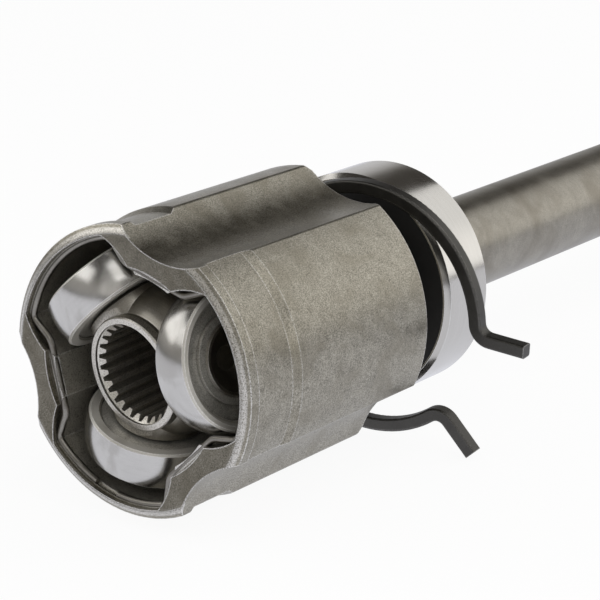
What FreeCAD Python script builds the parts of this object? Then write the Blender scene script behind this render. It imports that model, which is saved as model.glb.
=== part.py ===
import FreeCAD, Part
import os
from math import acos, asin, cos, degrees, hypot, radians, sin, sqrt, tan

# A tripod joint of the plunging kind with its long stub shaft and its support bearing.
# The frame: X runs along the shaft, away from the mouth of the bell. Z is up.
# The origin is the joint centre, where the three trunnion axes meet.

vec = FreeCAD.Vector
x_axis = vec(1, 0, 0)
z_axis = vec(0, 0, 1)
joint_centre = vec(0, 0, 0)

# Layout of the joint
mouth_to_centre = 15.0
pitch_radius = 21.6
first_lobe_angle = 46.0
lobe_count = 3
rest_tilt = 9.3
largest_tilt = 13.6
plunge_travel = 25.0
fit_gap = 0.05

# Rollers
roller_radius = 18.6
roller_width = 10.4
roller_edge_bevel = 0.5
roller_play = 0.05
washer_pocket_depth = 3.7
washer_pocket_bevel = 1.4
boss_in_pocket = 0.65

# Needles, needle washers and snap rings on the trunnions
needle_diameter = 3.0
needle_count = 23
needle_end_gap = 0.15
needle_bevel = 0.3
washer_thickness = 0.6
washer_width = 5.0
washer_rim_gap = 0.2
trunnion_ring_thickness = 1.0
trunnion_ring_width = 2.2
trunnion_ring_groove = 0.8
trunnion_ring_gap_angle = 34.0
side_gap = 0.05

# Spider
trunnion_radius = 9.75
trunnion_nose = 0.7
trunnion_tip_bevel = 0.7
trunnion_cup_wall = 1.45
trunnion_cup_depth = 4.0
trunnion_cup_floor_radius = 3.0
boss_shoulder = 2.2
boss_bevel = 0.8
spider_half_width = 12.1
hub_wall = 2.0
hub_waist_bulge = 4.5
hub_rim_land = 3.2
hub_rim_bevel = 0.35
hub_entry_clearance = 0.3
hub_entry_land = 0.7
hub_entry_depth = 2.2
spline_tooth_count = 26
spline_tooth_height = 1.15
spline_root_radius = 12.75
spline_tip_half_width = 0.45
spline_root_half_width = 1.05

# Bell, inside
lobe_wall_gap = 1.52
ridge_radius = 25.0
ridge_lip_height = 1.9
ridge_lip_depth = 1.4
mouth_inner_bevel = 0.5
floor_gap = 2.0
floor_corner_length = 2.0
floor_corner_height = 6.0

# Bell, outside
bell_wall = 3.2
bell_floor = 10.5
mouth_edge_drop = 2.3
mouth_bevel_length = 1.3
rim_land_drop = 0.15
rim_land_end = 4.4
boot_groove_drop = 1.1
boot_groove_start = 5.3
boot_groove_end = 18.5
boot_ramp_length = 2.5
bell_back_bevel = 1.5
bell_back_shoulder = 10.0
ridge_wall = 6.5
flute_radius = 24.0
flute_edge_radius = 1.4

# Stop wire in the mouth
wire_diameter = 1.8
wire_depth = 2.3
wire_wall_gap = 0.2
wire_arc_half_angle = 30.0
wire_shoulder = 1.5
wire_shoulder_bend = 2.0
wire_ridge_gap = 0.5
wire_ridge_half_length = 9.5
wire_ridge_bend = 4.0
wire_gap = 7.0

# Neck, bearing seat and stub shaft
neck_length = 17.4
neck_shoulder = 2.5
neck_cone_length = 6.5
seat_groove_depth = 0.8
seat_ring_thickness = 1.5
seat_ring_width = 2.9
seat_ring_gap_angle = 50.0
stem_land = 2.4
shaft_radius = 13.4
shaft_cone_drop = 0.9
shaft_cone_length = 5.0
bare_shaft_length = 146.0
journal_length = 26.0
journal_radius = 16.0
journal_cone = 3.0
tail_length = 44.0
tail_spline_length = 38.0
tail_spline_radius = 13.8
tail_spline_height = 1.1
tail_bevel = 1.6
tail_groove_depth = 2.2
tail_groove_width = 2.0
tail_groove_to_end = 6.0
tail_clip_wire = 1.6
tail_clip_gap_angle = 24.0
centre_drill_radius = 3.2

# Support bearing
race_outer_radius = 31.0
bearing_bore_radius = 17.5
bearing_width = 19.2
race_front_bevel = 1.3
race_back_bevel = 0.9
race_edge_bevel = 0.5
race_ball_wall = 2.15
race_land_step = 1.8
ball_count = 11
ball_gap = 0.06
cage_inner_step = 1.4
cage_outer_step = 1.2
cage_side_wall = 0.8
cage_ball_gap = 0.2
seal_rim_wall = 1.8
seal_pocket_depth = 2.4
seal_recess = 0.2
seal_thickness = 1.6
seal_lip_gap = 0.08
seal_groove_depth = 0.5

# Black collar that throws oil off, on the neck in front of the bearing
flinger_height = 2.0
flinger_flange = 1.6
flinger_sleeve_wall = 0.9
flinger_length = 7.4
flinger_to_bearing = 0.7

# Leg clip that holds the bearing in its bracket, here hanging loose on the collar
leg_clip_section = 3.6
leg_clip_corner = 0.6
leg_clip_ring_radius = 33.4
leg_clip_bend_radius = 4.2
leg_clip_reach = 48.0
leg_clip_first_leg_angle = 185.0
leg_clip_second_leg_angle = 229.0
leg_clip_to_bearing = 4.8
leg_clip_hang_gap = 0.45
leg_clip_hang_angle = 197.8
leg_clip_lean_angle = 4.92
leg_clip_lean_toward_angle = 51.1

# Places and sizes that follow from the ones above
lobe_step = 360.0 / lobe_count
lobe_angles = [first_lobe_angle + lobe_step * i for i in range(lobe_count)]
ridge_angles = [angle + lobe_step / 2 for angle in lobe_angles]

needle_radius = needle_diameter / 2
roller_bore_radius = trunnion_radius + needle_diameter + 2 * fit_gap
needle_pitch_radius = trunnion_radius + fit_gap + needle_radius
roller_inner_face = pitch_radius - roller_width / 2
roller_outer_face = pitch_radius + roller_width / 2
roller_shoulder_radius = sqrt(roller_radius ** 2 - (roller_width / 2 - roller_edge_bevel) ** 2)
washer_outer_radius = trunnion_radius + fit_gap + washer_width
washer_pocket_radius = washer_outer_radius + washer_rim_gap
washer_pocket_floor = roller_outer_face - washer_pocket_depth
washer_face = washer_pocket_floor + side_gap
trunnion_ring_face = washer_face + washer_thickness + side_gap
trunnion_ring_end = trunnion_ring_face + trunnion_ring_thickness
trunnion_tip = trunnion_ring_end + trunnion_nose
boss_radius = trunnion_radius + boss_shoulder
boss_height = roller_inner_face + boss_in_pocket
inner_washer_face = boss_height + side_gap
inner_washer_end = inner_washer_face + washer_thickness
inner_pocket_floor = inner_washer_end + side_gap
spline_tip_radius = spline_root_radius - spline_tooth_height
hub_rim_radius = spline_root_radius + hub_wall
hub_waist_radius = hub_rim_radius + hub_waist_bulge
hub_entry_radius = spline_root_radius + hub_entry_clearance

# The leaning spider swings its two outer rollers off the middle of their tracks
# and moves one of them nearer the mouth, the other nearer the floor.
swing_arm = pitch_radius * sin(radians(lobe_step))
roller_sway = swing_arm * (1 - cos(radians(largest_tilt)))
roller_swing = swing_arm * sin(radians(largest_tilt))
track_radius = roller_radius + roller_sway + roller_play
lobe_wall_radius = hypot(roller_outer_face, roller_shoulder_radius) + lobe_wall_gap
cavity_depth = mouth_to_centre + plunge_travel + roller_swing + roller_radius + floor_gap
ridge_lip_radius = ridge_radius + ridge_lip_height
bell_radius = lobe_wall_radius + bell_wall
bell_length = cavity_depth + bell_floor
flute_bottom_radius = ridge_radius + ridge_wall

mouth_x = -mouth_to_centre
bell_back_x = mouth_x + bell_length
bearing_x = bell_back_x + neck_length
bearing_back_x = bearing_x + bearing_width
bearing_mid_x = bearing_x + bearing_width / 2
neck_radius = bearing_bore_radius + neck_shoulder
seat_ring_x = bearing_back_x + side_gap
seat_groove_end_x = seat_ring_x + seat_ring_thickness + side_gap
stem_end_x = seat_groove_end_x + stem_land
journal_x = stem_end_x + bare_shaft_length
journal_end_x = journal_x + journal_length
shaft_end_x = journal_end_x + tail_length
tail_root_radius = tail_spline_radius - tail_spline_height
tail_groove_radius = tail_root_radius + tail_spline_height - tail_groove_depth

ball_pitch_radius = (race_outer_radius + bearing_bore_radius) / 2
ball_radius = (race_outer_radius - bearing_bore_radius) / 2 - race_ball_wall
outer_land_radius = ball_pitch_radius + ball_radius - race_land_step
inner_land_radius = ball_pitch_radius - ball_radius + race_land_step
seal_pocket_radius = race_outer_radius - seal_rim_wall
flinger_radius = neck_radius + flinger_height
flinger_x = bearing_x - flinger_to_bearing - flinger_length


def turned(points):
    """Solid of revolution about the X axis from an outline of (x, radius) points."""
    corners = [vec(x, radius, 0) for x, radius in points]
    face = Part.Face(Part.makePolygon(corners + [corners[0]]))
    return face.revolve(joint_centre, x_axis, 360)


def tube(inner_radius, outer_radius, start_x, end_x):
    """Plain ring about the X axis; an inner radius of zero gives a disc."""
    points = [(start_x, inner_radius), (start_x, outer_radius)]
    points += [(end_x, outer_radius), (end_x, inner_radius)]
    return turned(points)


def turned_about_x(shape, angle):
    """Copy of a shape, turned about the X axis."""
    copy = shape.copy()
    copy.rotate(joint_centre, x_axis, angle)
    return copy


def polar(radius, angle, x=0.0):
    """Point at a radius and an angle about the X axis."""
    return vec(x, radius * cos(radians(angle)), radius * sin(radians(angle)))


def lobe_point(out, side, angle, x=0.0):
    """Point that lies out along the direction of an angle, and to its side."""
    return polar(out, angle, x) + polar(side, angle + 90)


def arc(start, middle, end):
    """Arc edge through three points."""
    return Part.Arc(start, middle, end).toShape()


def closed_face(edges):
    """Face inside a closed outline."""
    return Part.Face(Part.Wire(Part.sortEdges(edges)[0]))


def split_ring(inner_radius, width, start_x, thickness, gap_angle, gap_at):
    """Snap ring about the X axis, with a gap."""
    outer_radius = inner_radius + width
    reach = 2 * outer_radius
    ends = [polar(reach, gap_at - gap_angle / 2), polar(reach, gap_at + gap_angle / 2)]
    wedge = Part.Face(Part.makePolygon([joint_centre] + ends + [joint_centre]))
    wedge = wedge.extrude(x_axis * (3 * thickness))
    wedge.translate(x_axis * (start_x - thickness))
    return tube(inner_radius, outer_radius, start_x, start_x + thickness).cut(wedge)


def rounded_loop(points, bends):
    """Edges of a closed outline with a bend radius at each corner."""
    starts, middles, ends = [], [], []
    for i, corner in enumerate(points):
        back = (points[i - 1] - corner).normalize()
        ahead = (points[(i + 1) % len(points)] - corner).normalize()
        half_opening = back.getAngle(ahead) / 2
        trim = bends[i] / tan(half_opening)
        inward = (back + ahead).normalize()
        starts.append(corner + back * trim)
        middles.append(corner + inward * (bends[i] / sin(half_opening) - bends[i]))
        ends.append(corner + ahead * trim)
    edges = []
    for i in range(len(points)):
        edges.append(arc(starts[i], middles[i], ends[i]))
        edges.append(Part.LineSegment(ends[i], starts[(i + 1) % len(points)]).toShape())
    return edges


def wire_along(path, radius):
    """Round wire along a path."""
    first_edge = path.Edges[0]
    start = first_edge.valueAt(first_edge.FirstParameter)
    direction = first_edge.tangentAt(first_edge.FirstParameter)
    section = Part.Wire(Part.makeCircle(radius, start, direction))
    return path.makePipeShell([section], True, False, 2)


def toothed_bar(tip_radius, root_radius, start_x, end_x):
    """Bar with straight sided teeth that point out to the tip radius, or in to it."""
    tooth_step = 360.0 / spline_tooth_count
    tip_turn = degrees(spline_tip_half_width / tip_radius)
    root_turn = degrees(spline_root_half_width / root_radius)
    corners = []
    for i in range(spline_tooth_count):
        middle = i * tooth_step
        corners.append(polar(root_radius, middle - root_turn, start_x))
        corners.append(polar(tip_radius, middle - tip_turn, start_x))
        corners.append(polar(tip_radius, middle + tip_turn, start_x))
        corners.append(polar(root_radius, middle + root_turn, start_x))
    return Part.Face(Part.makePolygon(corners + [corners[0]])).extrude(x_axis * (end_x - start_x))


# Bell and stem
def flute_outline():
    """Outer section of the bell: a circle with a hollow flute between each two lobes."""
    flute_centre_radius = flute_bottom_radius + flute_radius
    edge_centre_radius = bell_radius - flute_edge_radius
    reach = flute_radius + flute_edge_radius
    cosine = edge_centre_radius ** 2 + flute_centre_radius ** 2 - reach ** 2
    cosine /= 2 * edge_centre_radius * flute_centre_radius
    half = degrees(acos(cosine))
    edges = []
    for ridge in ridge_angles:
        flute_centre = polar(flute_centre_radius, ridge)
        on_flute = []
        for side in (-1, 1):
            edge_centre = polar(edge_centre_radius, ridge + side * half)
            to_flute = (flute_centre - edge_centre).normalize()
            to_rim = polar(1, ridge + side * half)
            between = (to_flute + to_rim).normalize()
            on_flute.append(edge_centre + to_flute * flute_edge_radius)
            edges.append(arc(polar(bell_radius, ridge + side * half),
                             edge_centre + between * flute_edge_radius, on_flute[-1]))
        edges.append(arc(on_flute[0], polar(flute_bottom_radius, ridge), on_flute[1]))
        lobe = ridge + lobe_step / 2
        edges.append(arc(polar(bell_radius, ridge + half), polar(bell_radius, lobe),
                         polar(bell_radius, ridge + lobe_step - half)))
    return closed_face(edges)


def cavity_outline(wall_radius, land_radius):
    """Section of the three lobed cavity: lobe wall, two track sides and ridge land in turn."""
    corners = []
    for radius in (wall_radius, land_radius):
        out = (radius ** 2 + pitch_radius ** 2 - track_radius ** 2) / (2 * pitch_radius)
        corners.append((out, sqrt(radius ** 2 - out ** 2)))
    (wall_out, wall_side), (land_out, land_side) = corners
    edges = []
    for angle in lobe_angles:
        for side in (-1, 1):
            edges.append(arc(lobe_point(wall_out, side * wall_side, angle),
                             lobe_point(pitch_radius, side * track_radius, angle),
                             lobe_point(land_out, side * land_side, angle)))
        edges.append(arc(lobe_point(wall_out, -wall_side, angle), polar(wall_radius, angle),
                         lobe_point(wall_out, wall_side, angle)))
        edges.append(arc(lobe_point(land_out, land_side, angle),
                         polar(land_radius, angle + lobe_step / 2),
                         lobe_point(land_out, -land_side, angle + lobe_step)))
    return closed_face(edges)


def cavity():
    """Space for the rollers, from the mouth to the bevelled floor."""
    tracks = cavity_outline(lobe_wall_radius, ridge_radius).extrude(x_axis * cavity_depth)
    tracks.translate(x_axis * mouth_x)
    floor_x = mouth_x + cavity_depth
    corner_radius = bell_radius - floor_corner_height
    limit = [(mouth_x, 0), (mouth_x, bell_radius), (floor_x - floor_corner_length, bell_radius)]
    limit += [(floor_x, corner_radius), (floor_x, 0)]
    return tracks.common(turned(limit))


def mouth_lip():
    """Shallow step round the mouth: a bevel's width in the lobes, wider on the ridges."""
    lip = cavity_outline(lobe_wall_radius + mouth_inner_bevel, ridge_lip_radius)
    lip = lip.extrude(x_axis * ridge_lip_depth)
    lip.translate(x_axis * mouth_x)
    return lip


def wire_path():
    """Centre line of the stop wire: an arc in each lobe, a straight run over each ridge."""
    x = mouth_x + wire_depth
    half = radians(wire_arc_half_angle)
    arc_radius = lobe_wall_radius - wire_wall_gap
    shoulder_out = arc_radius * cos(half) - wire_shoulder * sin(half)
    shoulder_side = arc_radius * sin(half) + wire_shoulder * cos(half)
    run_out = ridge_radius + wire_ridge_gap
    points, bends = [], []
    for angle, ridge in zip(lobe_angles, ridge_angles):
        points.append(lobe_point(arc_radius / cos(half), 0, angle, x))
        points.append(lobe_point(shoulder_out, shoulder_side, angle, x))
        points.append(lobe_point(run_out, -wire_ridge_half_length, ridge, x))
        points.append(lobe_point(run_out, wire_ridge_half_length, ridge, x))
        points.append(lobe_point(shoulder_out, -shoulder_side, angle + lobe_step, x))
        bends += [arc_radius, wire_shoulder_bend, wire_ridge_bend]
        bends += [wire_ridge_bend, wire_shoulder_bend]
    return Part.Wire(rounded_loop(points, bends))


def stop_wire_ring():
    """Round wire snapped into the mouth, so that the rollers can't run out; split in one lobe."""
    ring = wire_along(wire_path(), wire_diameter / 2)
    slot = Part.makeBox(2 * wire_diameter, bell_radius, wire_gap)
    slot.translate(vec(mouth_x + wire_depth - wire_diameter, 0, -wire_gap / 2))
    return ring.cut(turned_about_x(slot, lobe_angles[-1]))


def bell_blank():
    """Turned shape of the bell with its boot groove, its neck and the bearing seat."""
    groove_x = mouth_x + boot_groove_start
    groove_end_x = mouth_x + boot_groove_end
    neck_x = bell_back_x + neck_cone_length
    cone_radius = bell_radius - bell_back_shoulder
    seat_groove_radius = bearing_bore_radius - seat_groove_depth
    outline = [(mouth_x, 0), (mouth_x, bell_radius - mouth_edge_drop)]
    outline += [(mouth_x + mouth_bevel_length, bell_radius - rim_land_drop)]
    outline += [(mouth_x + rim_land_end, bell_radius - rim_land_drop)]
    outline += [(groove_x, bell_radius - boot_groove_drop)]
    outline += [(groove_end_x, bell_radius - boot_groove_drop)]
    outline += [(groove_end_x + boot_ramp_length, bell_radius)]
    outline += [(bell_back_x - bell_back_bevel, bell_radius)]
    outline += [(bell_back_x, bell_radius - bell_back_bevel), (bell_back_x, cone_radius)]
    outline += [(neck_x, neck_radius), (bearing_x, neck_radius), (bearing_x, bearing_bore_radius)]
    outline += [(bearing_back_x, bearing_bore_radius), (bearing_back_x, seat_groove_radius)]
    outline += [(seat_groove_end_x, seat_groove_radius), (seat_groove_end_x, bearing_bore_radius)]
    outline += [(stem_end_x - race_edge_bevel, bearing_bore_radius)]
    outline += [(stem_end_x, bearing_bore_radius - race_edge_bevel), (stem_end_x, 0)]
    return turned(outline)


def tulip_housing():
    """Bell with flutes outside and tracks inside, in one piece with the bearing seat."""
    fluted = flute_outline().extrude(x_axis * bell_length)
    fluted.translate(x_axis * mouth_x)
    stem = tube(0, bell_radius - bell_back_shoulder, bell_back_x, stem_end_x)
    body = bell_blank().common(fluted.fuse(stem))
    channel = wire_along(wire_path(), wire_diameter / 2 + fit_gap)
    return body.cut([cavity(), mouth_lip(), channel]).removeSplitter()


def stub_shaft():
    """Long shaft behind the bearing: plain bar, seal journal and the splined end."""
    outline = [(stem_end_x, 0), (stem_end_x, bearing_bore_radius - shaft_cone_drop)]
    outline += [(stem_end_x + shaft_cone_length, shaft_radius)]
    outline += [(journal_x - journal_cone, shaft_radius)]
    outline += [(journal_x, journal_radius), (journal_end_x, journal_radius)]
    outline += [(journal_end_x + journal_cone, tail_root_radius)]
    outline += [(shaft_end_x - tail_bevel, tail_root_radius)]
    outline += [(shaft_end_x, tail_root_radius - tail_bevel), (shaft_end_x, 0)]
    shaft = turned(outline).fuse(tail_teeth())
    groove_x = shaft_end_x - tail_groove_to_end
    shaft = shaft.cut(tube(tail_groove_radius, bell_radius, groove_x - tail_groove_width, groove_x))
    drill = [(shaft_end_x - 2 * centre_drill_radius, 0), (shaft_end_x, 0)]
    drill += [(shaft_end_x, centre_drill_radius)]
    return shaft.cut(turned(drill)).removeSplitter()


def tail_teeth():
    """Teeth of the shaft's end, which run out in a slope at both ends."""
    start_x = shaft_end_x - tail_spline_length
    run_out = 2 * tail_spline_height
    clear_radius = tail_spline_radius + fit_gap
    limit = [(start_x, 0), (start_x, tail_root_radius - fit_gap)]
    limit += [(start_x + run_out, clear_radius), (shaft_end_x - tail_bevel, clear_radius)]
    limit += [(shaft_end_x, tail_root_radius - tail_bevel), (shaft_end_x, 0)]
    teeth = toothed_bar(tail_spline_radius, tail_root_radius, start_x, shaft_end_x)
    return teeth.common(turned(limit))


def differential_clip():
    """Open wire ring in the groove near the end of the shaft."""
    wire_radius = tail_clip_wire / 2
    radius = tail_groove_radius + wire_radius + fit_gap
    x = shaft_end_x - tail_groove_to_end - tail_groove_width / 2
    half_gap = tail_clip_gap_angle / 2
    ring = arc(polar(radius, half_gap, x), polar(radius, 180, x), polar(radius, -half_gap, x))
    return wire_along(Part.Wire([ring]), wire_radius)


def seat_snap_ring():
    """Snap ring that keeps the bearing on its seat."""
    inner_radius = bearing_bore_radius - seat_groove_depth + fit_gap
    return split_ring(inner_radius, seat_ring_width, seat_ring_x, seat_ring_thickness,
                      seat_ring_gap_angle, -lobe_step)


# Spider, rollers and needles, first made along X and then set on their trunnions
def along_trunnion(shape, lobe_angle):
    """Turn a piece made along X so that it lies along a trunnion of an upright spider."""
    copy = shape.copy()
    copy.rotate(joint_centre, z_axis, 90)
    return turned_about_x(copy, lobe_angle)


def tilted(shape):
    """Lean a piece with the spider, which rests tilted about its first trunnion."""
    copy = shape.copy()
    copy.rotate(joint_centre, polar(1, first_lobe_angle), -rest_tilt)
    return copy


def trunnion():
    """One trunnion with its boss, its ring groove and its cupped end."""
    groove_x = trunnion_ring_face - side_gap
    groove_end_x = trunnion_ring_end + side_gap
    groove_radius = trunnion_radius - trunnion_ring_groove
    cup_floor_x = trunnion_tip - trunnion_cup_depth
    outline = [(0, 0), (0, boss_radius), (boss_height - boss_bevel, boss_radius)]
    outline += [(boss_height, boss_radius - boss_bevel), (boss_height, trunnion_radius)]
    outline += [(groove_x, trunnion_radius), (groove_x, groove_radius)]
    outline += [(groove_end_x, groove_radius), (groove_end_x, trunnion_radius - trunnion_tip_bevel / 2)]
    outline += [(trunnion_tip, trunnion_radius - trunnion_tip_bevel)]
    outline += [(trunnion_tip, trunnion_radius - trunnion_cup_wall)]
    outline += [(cup_floor_x, trunnion_cup_floor_radius), (cup_floor_x, 0)]
    return turned(outline)


def hub_blank():
    """Waisted ring of the hub, thickest in the middle."""
    end_x = spider_half_width
    rim_x = end_x - hub_rim_land
    rim = [vec(end_x, 0, 0), vec(end_x, hub_rim_radius - hub_rim_bevel, 0)]
    rim += [vec(end_x - hub_rim_bevel, hub_rim_radius, 0), vec(rim_x, hub_rim_radius, 0)]
    far_rim = [vec(-point.x, point.y, 0) for point in reversed(rim)]
    waist = arc(rim[-1], vec(0, hub_waist_radius, 0), far_rim[0])
    edges = Part.makePolygon(rim).Edges + [waist]
    edges += Part.makePolygon(far_rim + [rim[0]]).Edges
    return closed_face(edges).revolve(joint_centre, x_axis, 360)


def spider():
    """Hub with an internal spline and three trunnions."""
    flat = tube(0, hub_waist_radius, boss_height, 2 * hub_waist_radius)
    flats = [along_trunnion(flat, angle) for angle in lobe_angles]
    trunnions = [along_trunnion(trunnion(), angle) for angle in lobe_angles]
    half = spider_half_width
    teeth = toothed_bar(spline_tip_radius, spline_root_radius, -half, half)
    entries = []
    for end in (-half, half):
        inward = -end / half
        lead = [(end, 0), (end, hub_entry_radius), (end + inward * hub_entry_land, hub_entry_radius)]
        lead += [(end + inward * hub_entry_depth, spline_tip_radius), (end + inward * hub_entry_depth, 0)]
        entries.append(turned(lead))
    body = hub_blank().cut(flats).fuse(trunnions).cut([teeth] + entries)
    return tilted(body.removeSplitter())


def roller():
    """Barrel roller along X, with a pocket for a needle washer in each end."""
    edge = roller_edge_bevel
    bevel = washer_pocket_bevel
    pocket = washer_pocket_radius
    inner = [vec(inner_pocket_floor, roller_bore_radius, 0), vec(inner_pocket_floor, pocket, 0)]
    inner += [vec(roller_inner_face + edge, pocket, 0), vec(roller_inner_face, pocket + edge, 0)]
    inner += [vec(roller_inner_face, roller_shoulder_radius - edge, 0)]
    inner += [vec(roller_inner_face + edge, roller_shoulder_radius, 0)]
    outer = [vec(roller_outer_face - edge, roller_shoulder_radius, 0)]
    outer += [vec(roller_outer_face, roller_shoulder_radius - edge, 0)]
    outer += [vec(roller_outer_face, pocket + bevel, 0), vec(roller_outer_face - bevel, pocket, 0)]
    outer += [vec(washer_pocket_floor, pocket, 0), vec(washer_pocket_floor, roller_bore_radius, 0)]
    outer += [inner[0]]
    crown = arc(inner[-1], vec(pitch_radius, roller_radius, 0), outer[0])
    edges = Part.makePolygon(inner).Edges + [crown] + Part.makePolygon(outer).Edges
    return closed_face(edges).revolve(joint_centre, x_axis, 360)


def needles():
    """Full ring of loose needles round a trunnion."""
    start_x = inner_washer_end + needle_end_gap
    end_x = washer_face - needle_end_gap
    outline = [(start_x, 0), (start_x, needle_radius - needle_bevel)]
    outline += [(start_x + needle_bevel, needle_radius), (end_x - needle_bevel, needle_radius)]
    outline += [(end_x, needle_radius - needle_bevel), (end_x, 0)]
    needle = turned(outline)
    needle.translate(vec(0, needle_pitch_radius, 0))
    step = 360.0 / needle_count
    return Part.Compound([turned_about_x(needle, step * i) for i in range(needle_count)])


def needle_washers():
    """The two washers that keep the needles in, one at the boss and one at the snap ring."""
    inner_radius = trunnion_radius + fit_gap
    washers = [tube(inner_radius, washer_outer_radius, x, x + washer_thickness)
               for x in (inner_washer_face, washer_face)]
    return Part.Compound(washers)


def trunnion_ring():
    """Snap ring in the groove near a trunnion's end, its gap turned up."""
    inner_radius = trunnion_radius - trunnion_ring_groove + fit_gap
    return split_ring(inner_radius, trunnion_ring_width, trunnion_ring_face,
                      trunnion_ring_thickness, trunnion_ring_gap_angle, 180)


# Support bearing
def ball_groove():
    """Ring shaped cutter of the ball groove in both races."""
    centre = vec(bearing_mid_x, ball_pitch_radius, 0)
    circle = Part.Wire(Part.makeCircle(ball_radius + ball_gap, centre, z_axis))
    return Part.Face(circle).revolve(joint_centre, x_axis, 360)


def bearing_outer_race():
    """Outer race: ground outside, a ball groove inside, a seal's pocket at each end."""
    pocket_x = bearing_x + seal_pocket_depth
    back_pocket_x = bearing_back_x - seal_pocket_depth
    outline = [(bearing_x, seal_pocket_radius), (bearing_x, race_outer_radius - race_front_bevel)]
    outline += [(bearing_x + race_front_bevel, race_outer_radius)]
    outline += [(bearing_back_x - race_back_bevel, race_outer_radius)]
    outline += [(bearing_back_x, race_outer_radius - race_back_bevel)]
    outline += [(bearing_back_x, seal_pocket_radius), (back_pocket_x, seal_pocket_radius)]
    outline += [(back_pocket_x, outer_land_radius), (pocket_x, outer_land_radius)]
    outline += [(pocket_x, seal_pocket_radius)]
    return turned(outline).cut(ball_groove())


def bearing_inner_race():
    """Inner race on its seat, with a ball groove and a groove for each seal's lip."""
    edge = race_edge_bevel
    outline = [(bearing_x, bearing_bore_radius + edge), (bearing_x, inner_land_radius - edge)]
    outline += [(bearing_x + edge, inner_land_radius), (bearing_back_x - edge, inner_land_radius)]
    outline += [(bearing_back_x, inner_land_radius - edge)]
    outline += [(bearing_back_x, bearing_bore_radius + edge)]
    outline += [(bearing_back_x - edge, bearing_bore_radius), (bearing_x + edge, bearing_bore_radius)]
    lip_radius = inner_land_radius - seal_groove_depth
    cutters = [ball_groove()]
    for start_x in seal_starts():
        end_x = start_x + seal_thickness
        cutters.append(tube(lip_radius, race_outer_radius, start_x - edge, end_x + edge))
    return turned(outline).cut(cutters)


def seal_starts():
    """Where the front seal and the back seal begin along X."""
    return bearing_x + seal_recess, bearing_back_x - seal_recess - seal_thickness


def bearing_seal(start_x):
    """Rubber seal held in the outer race, its lip just clear of the inner race."""
    lip_radius = inner_land_radius - seal_groove_depth + seal_lip_gap
    return tube(lip_radius, seal_pocket_radius - fit_gap / 2, start_x, start_x + seal_thickness)


def ball_places():
    """Centres of the balls."""
    step = 360.0 / ball_count
    return [polar(ball_pitch_radius, step * i, bearing_mid_x) for i in range(ball_count)]


def bearing_balls():
    """Ring of balls."""
    return Part.Compound([Part.makeSphere(ball_radius, place) for place in ball_places()])


def bearing_cage():
    """Moulded ring with one pocket for each ball."""
    half = ball_radius + cage_ball_gap + cage_side_wall
    inner_radius = ball_pitch_radius - cage_inner_step
    outer_radius = ball_pitch_radius + cage_outer_step
    ring = tube(inner_radius, outer_radius, bearing_mid_x - half, bearing_mid_x + half)
    pockets = []
    for place in ball_places():
        outward = vec(0, place.y, place.z).normalize()
        foot = place - outward * ball_radius
        pockets.append(Part.makeCylinder(ball_radius + cage_ball_gap, 2 * ball_radius, foot, outward))
    return ring.cut(pockets)


def oil_flinger():
    """Pressed sleeve with a flange, on the neck in front of the bearing."""
    flange_end_x = flinger_x + flinger_flange
    end_x = flinger_x + flinger_length
    sleeve_radius = neck_radius + flinger_sleeve_wall
    outline = [(flinger_x, neck_radius), (flinger_x, flinger_radius)]
    outline += [(flange_end_x, flinger_radius), (flange_end_x, sleeve_radius)]
    outline += [(end_x, sleeve_radius), (end_x, neck_radius)]
    return turned(outline)


# Leg clip
def leg_clip_path():
    """Centre line of the clip in its own plane: leg, bend, long arc, bend, leg."""
    radius, bend = leg_clip_ring_radius, leg_clip_bend_radius
    swing = degrees(asin(bend / (radius + bend)))
    foot_radius = (radius + bend) * cos(radians(swing))
    sides = []
    for leg_angle, side in ((leg_clip_second_leg_angle, 1), (leg_clip_first_leg_angle, -1)):
        bend_centre = polar(radius + bend, leg_angle + side * swing)
        foot = polar(foot_radius, leg_angle)
        on_ring = polar(radius, leg_angle + side * swing)
        between = ((foot - bend_centre) + (on_ring - bend_centre)).normalize()
        leg = Part.LineSegment(polar(leg_clip_reach, leg_angle), foot).toShape()
        sides.append((leg, arc(foot, bend_centre + between * bend, on_ring), on_ring))
    middle = (leg_clip_first_leg_angle + leg_clip_second_leg_angle) / 2 + 180
    ring = arc(sides[0][2], polar(radius, middle), sides[1][2])
    return Part.Wire([sides[0][0], sides[0][1], ring, sides[1][1], sides[1][0]])


def bracket_clip():
    """Square wire clip with two legs for pliers, leaning in front of the bearing."""
    half = leg_clip_section / 2
    start = polar(leg_clip_reach, leg_clip_second_leg_angle)
    across = polar(half, leg_clip_second_leg_angle + 90)
    along = x_axis * half
    corners = [start - along - across, start + along - across, start + along + across,
               start - along + across]
    section = Part.Wire(rounded_loop(corners, [leg_clip_corner] * len(corners)))
    clip = leg_clip_path().makePipeShell([section], True, False, 2)
    clip.rotate(joint_centre, polar(1, leg_clip_lean_toward_angle + 90), leg_clip_lean_angle)
    drop = leg_clip_ring_radius - half - flinger_radius - leg_clip_hang_gap
    clip.translate(polar(drop, leg_clip_hang_angle, bearing_x - leg_clip_to_bearing))
    return clip


def write(name, shape):
    """Check one piece and write its STEP file."""
    if not shape.Solids or not shape.isValid():
        raise RuntimeError("bad shape: " + name)
    shape.exportStep("parts/" + name + ".step")
    print(name, len(shape.Solids), round(shape.Volume, 1), len(shape.Faces))


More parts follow.
